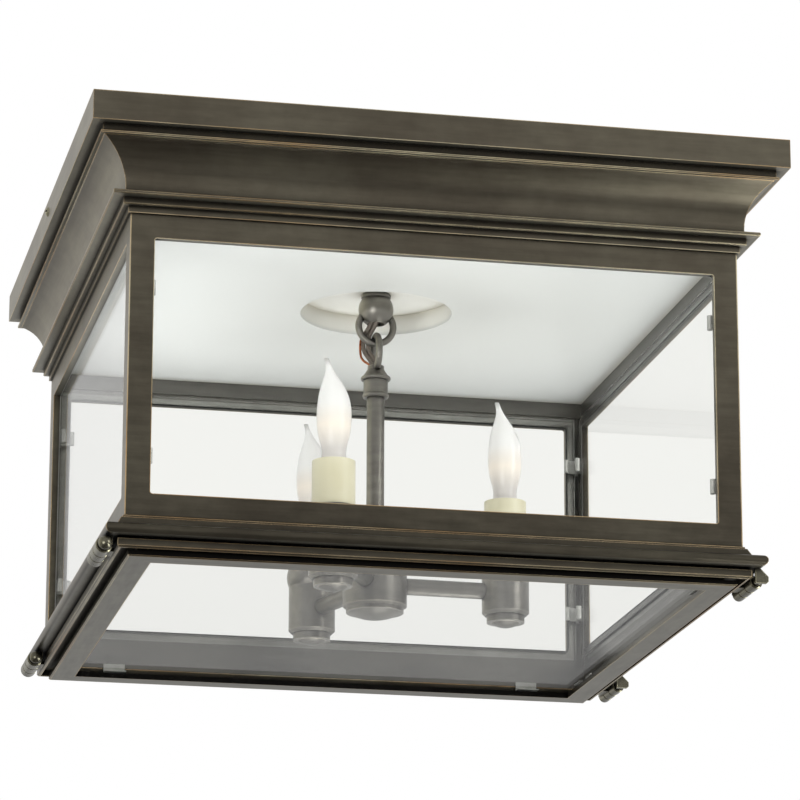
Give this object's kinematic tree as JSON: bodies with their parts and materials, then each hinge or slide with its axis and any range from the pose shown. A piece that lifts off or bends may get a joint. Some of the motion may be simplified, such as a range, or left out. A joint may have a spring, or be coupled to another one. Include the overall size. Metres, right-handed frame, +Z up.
{
  "type": "flush mount ceiling light",
  "caption": "Square glazed ceiling lantern with a coved crown, a drop-down glazed bottom door on ball-headed pins, and a candle cluster hung from interlocked loops.",
  "frame": {"origin": "middle of the top face, on the ceiling plane, at the centre of the two box-screw slots", "axes": "+Z up into the ceiling, -Y front, +X the hinged side of the door"},
  "size_m": [0.4538, 0.45, 0.2881],
  "materials": {
    "aged_bronze": "aged bronze, satin, arrises rubbed to pale brass",
    "bronze_hardware": "aged bronze turned hardware, satin",
    "white_panel": "matt white enamel",
    "clear_glass": "clear sheet glass",
    "clip_steel": "bright spring steel",
    "bronze_fittings": "grey bronze, satin",
    "steel_strap": "zinc plated strip",
    "zinc_steel": "zinc plated, threaded",
    "lead_insulation": "brown-grey lead insulation",
    "copper_wire": "bare copper, dulled",
    "candle_white": "ivory candle sleeve, satin",
    "holder_black": "black lampholder body",
    "frosted_bulb": "frosted glass, faint warm glow",
    "base_brass": "brass screw shell"
  },
  "bodies": {
    "lantern": {"mounting_strap": "steel_strap", "cap_band": "aged_bronze", "crown_cove": "aged_bronze", "crown_neck": "aged_bronze", "base_moulding": "aged_bronze", "cap_screws": "bronze_hardware", "hinge_lugs": "bronze_hardware", "latch_lugs": "bronze_hardware", "hinge_pins": "bronze_hardware", "ceiling_panel": "white_panel", "front_frame": "aged_bronze", "front_glass": "clear_glass", "front_glass_clips": "clip_steel", "rear_frame": "aged_bronze", "rear_glass": "clear_glass", "rear_glass_clips": "clip_steel", "left_frame": "aged_bronze", "left_glass": "clear_glass", "left_glass_clips": "clip_steel", "right_frame": "aged_bronze", "right_glass": "clear_glass", "right_glass_clips": "clip_steel", "ball_loop": "bronze_fittings", "loop_nipple": "zinc_steel", "loop_locknut": "zinc_steel"},
    "door": {"door_frame": "aged_bronze", "door_rim": "aged_bronze", "door_glass": "clear_glass", "door_glass_clips": "clip_steel", "door_hinge_knuckles": "bronze_hardware", "door_latch_knuckles": "bronze_hardware"},
    "front_pin": {"front_latch_pin": "bronze_hardware"},
    "rear_pin": {"rear_latch_pin": "bronze_hardware"},
    "cluster": {"stem_loop": "bronze_fittings", "stem_ring": "bronze_fittings", "stem": "bronze_fittings", "hub": "bronze_fittings", "hub_cap": "bronze_fittings", "cup_nuts": "bronze_fittings", "supply_leads": "lead_insulation", "earth_wire": "copper_wire", "right_arm": "bronze_fittings", "right_cup": "bronze_fittings", "right_candle_sleeve": "candle_white", "right_lampholder": "holder_black", "back_arm": "bronze_fittings", "back_cup": "bronze_fittings", "back_candle_sleeve": "candle_white", "back_lampholder": "holder_black", "front_arm": "bronze_fittings", "front_cup": "bronze_fittings", "front_candle_sleeve": "candle_white", "front_lampholder": "holder_black"},
    "right_lamp": {"right_bulb": "frosted_bulb", "right_bulb_base": "base_brass"},
    "back_lamp": {"back_bulb": "frosted_bulb", "back_bulb_base": "base_brass"},
    "front_lamp": {"front_bulb": "frosted_bulb", "front_bulb_base": "base_brass"}
  },
  "joints": [
    {"name": "door_hinge", "type": "hinge", "parent": "lantern", "child": "door", "pos_m": [0.2085, 0, -0.2826], "axis": [0, -1, 0], "range_deg": [0, 95]},
    {"name": "front_pin_pull", "type": "slide", "parent": "lantern", "child": "front_pin", "axis": [0, -1, 0], "range_m": [0, 0.04]},
    {"name": "rear_pin_pull", "type": "slide", "parent": "lantern", "child": "rear_pin", "axis": [0, -1, 0], "range_m": [0, 0.04]},
    {"name": "cluster_swing", "type": "hinge", "parent": "lantern", "child": "cluster", "pos_m": [0, 0, -0.0861], "axis": [1, 0, 0], "range_deg": [-3.5, 3.5]},
    {"name": "right_bulb_lift", "type": "slide", "parent": "cluster", "child": "right_lamp", "axis": [0, 0, 1], "range_m": [0, 0.026]},
    {"name": "back_bulb_lift", "type": "slide", "parent": "cluster", "child": "back_lamp", "axis": [0, 0, 1], "range_m": [0, 0.026]},
    {"name": "front_bulb_lift", "type": "slide", "parent": "cluster", "child": "front_lamp", "axis": [0, 0, 1], "range_m": [0, 0.026]}
  ]
}
